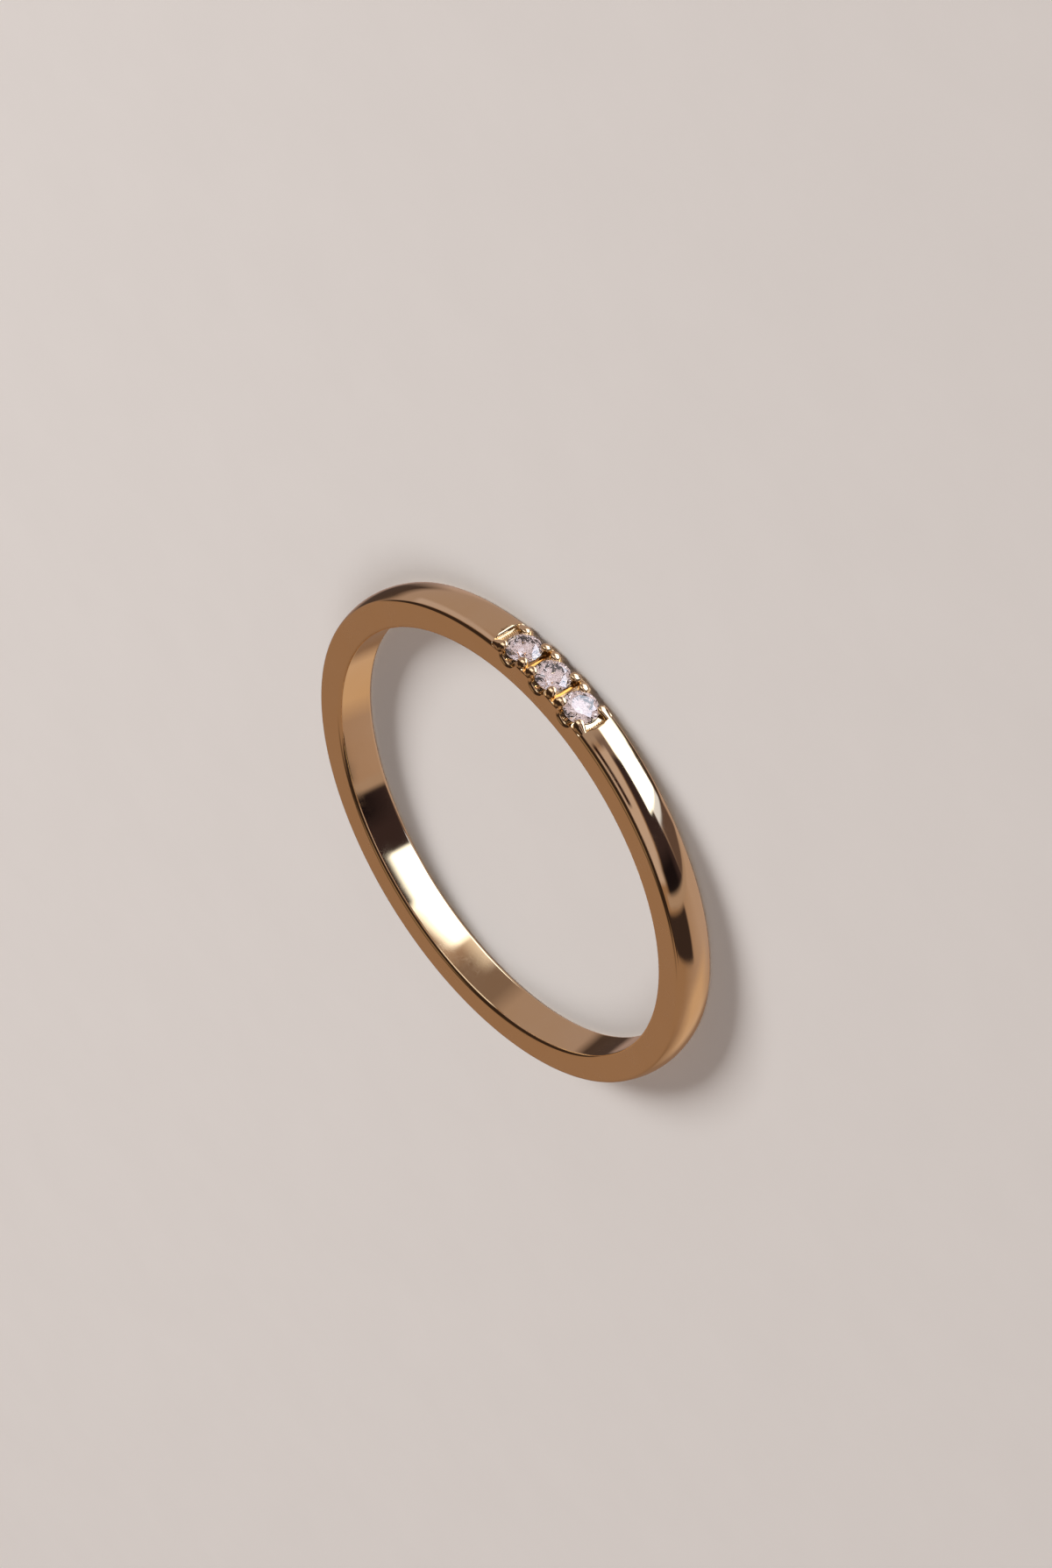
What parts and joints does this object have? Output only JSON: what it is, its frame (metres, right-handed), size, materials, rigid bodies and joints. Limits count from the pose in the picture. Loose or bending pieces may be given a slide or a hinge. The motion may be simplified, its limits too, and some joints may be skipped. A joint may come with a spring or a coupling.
{
  "type": "stackable ring",
  "caption": "Slim yellow gold stacking ring with a low domed band and three small round brilliants in scalloped claw seats, lying on its side.",
  "frame": {"origin": "middle of the finger hole, level with the flat side face that the ring lies on", "axes": "+Z along the finger hole, away from the side face that the ring lies on; the stones are at the front, along -Y, with the middle stone on the -Y axis"},
  "size_m": [0.0194, 0.0194, 0.0016],
  "materials": {
    "gold": "polished",
    "stones": "polished"
  },
  "bodies": {
    "root": {"band": "gold", "stone_1": "stones", "stone_2": "stones", "stone_3": "stones"}
  },
  "joints": []
}
